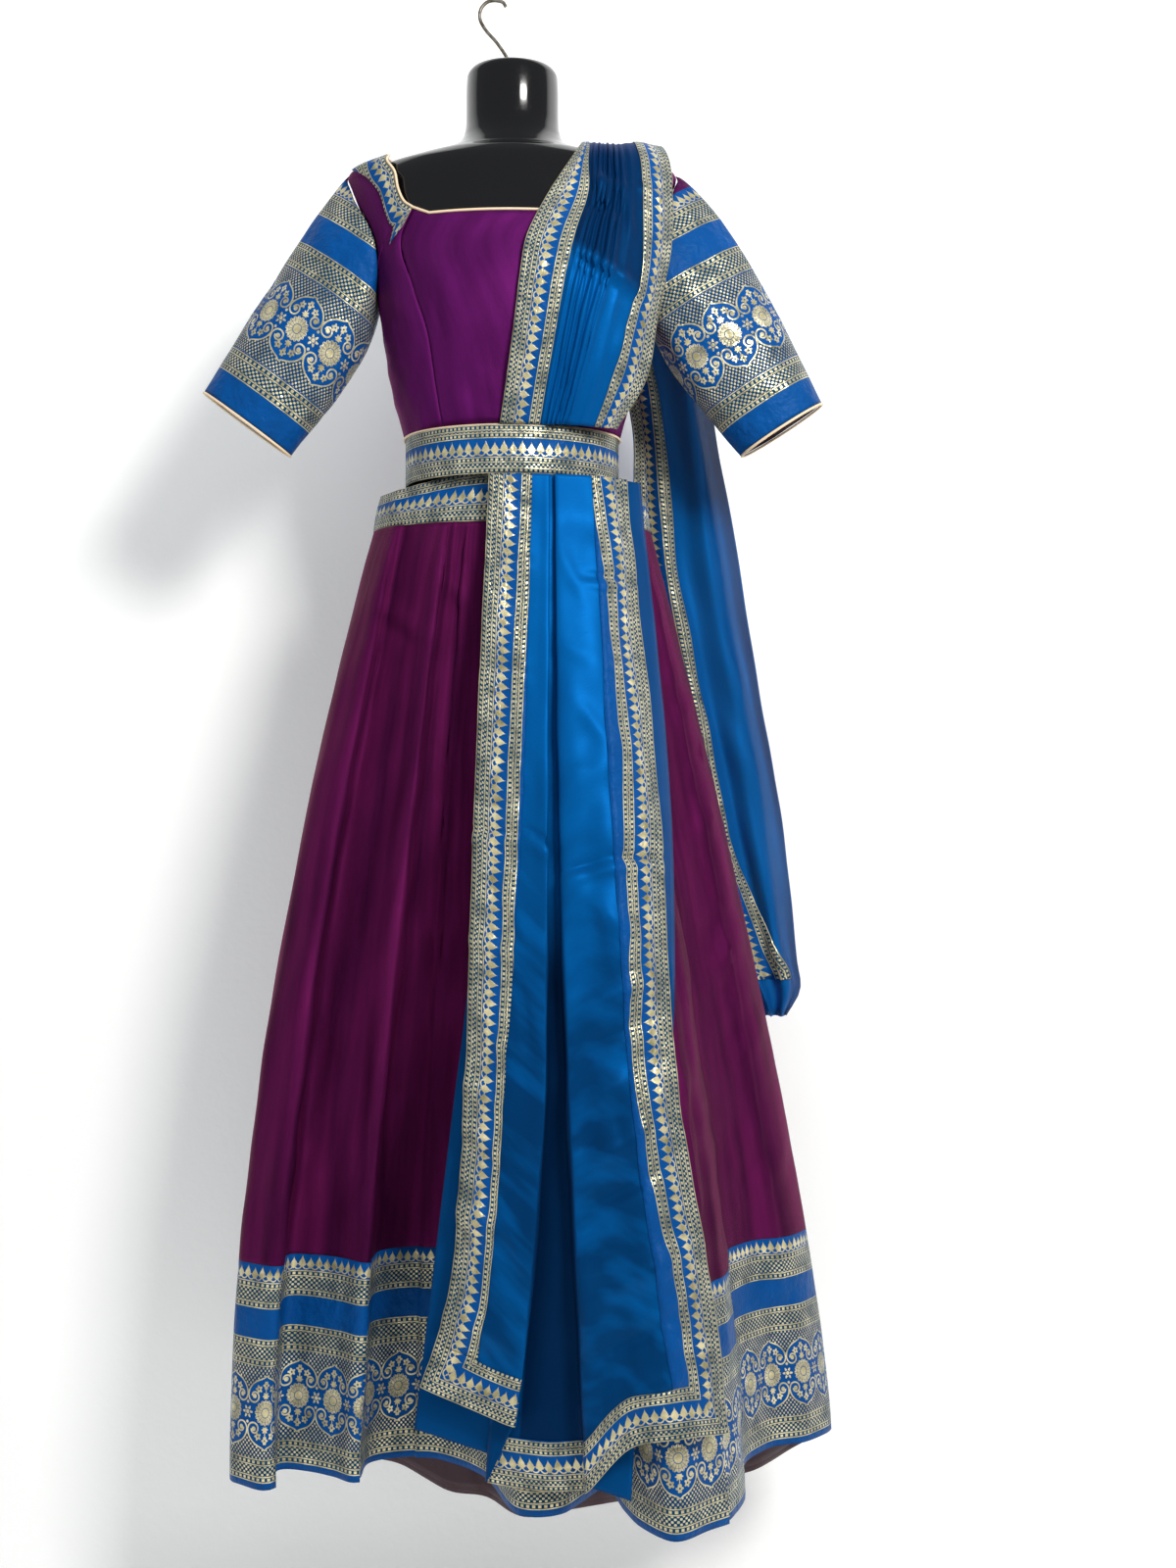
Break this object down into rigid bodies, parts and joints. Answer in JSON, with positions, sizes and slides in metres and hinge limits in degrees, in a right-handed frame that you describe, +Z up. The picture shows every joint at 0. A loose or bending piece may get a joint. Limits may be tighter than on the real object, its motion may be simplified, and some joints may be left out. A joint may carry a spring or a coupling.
{
  "type": "lehenga set on a hanging torso form with a hook",
  "caption": "Flared floor-length skirt, short fitted blouse with elbow sleeves and a draped stole with lace edges, worn by a limbless torso form that hangs from a wire hook",
  "frame": {"origin": "The highest inside point of the hook's wire loop, where the rod or peg bears that the whole set hangs from.", "axes": "+Z is up along the hanging line, -Y is the front of the garment, +X is to the right when it is seen from the front."},
  "size_m": [0.732, 0.418, 1.7766],
  "materials": {
    "garment_satin": "satin",
    "brocade": "woven brocade",
    "lace": "woven ribbon",
    "lining": "plain weave",
    "drape_silk": "soft silk",
    "piping": "satin cord",
    "form_gloss": "gloss",
    "hook_wire": "tarnished"
  },
  "bodies": {
    "root": {"hook": "hook_wire", "torso_form": "form_gloss", "choli_side_right": "garment_satin", "choli_side_left": "garment_satin", "choli_back_right": "garment_satin", "choli_back_left": "garment_satin", "choli_front": "garment_satin", "neck_piping": "piping", "choli_hem_piping": "piping", "cuff_piping_right": "piping", "cuff_piping_left": "piping", "strap_lace_right": "lace", "sleeve_right": "brocade", "sleeve_left": "brocade", "belt": "lace", "waistband": "lace", "skirt_front": "garment_satin", "border_front": "brocade", "skirt_back": "garment_satin", "border_back": "brocade", "skirt_lining": "lining", "drape_front": "drape_silk", "drape_lace_right": "lace", "drape_lace_left": "lace", "drape_under": "drape_silk", "drape_chest": "drape_silk", "chest_lace_inner": "lace", "chest_lace_outer": "lace", "drape_tail": "drape_silk", "tail_lace": "lace"}
  },
  "joints": []
}
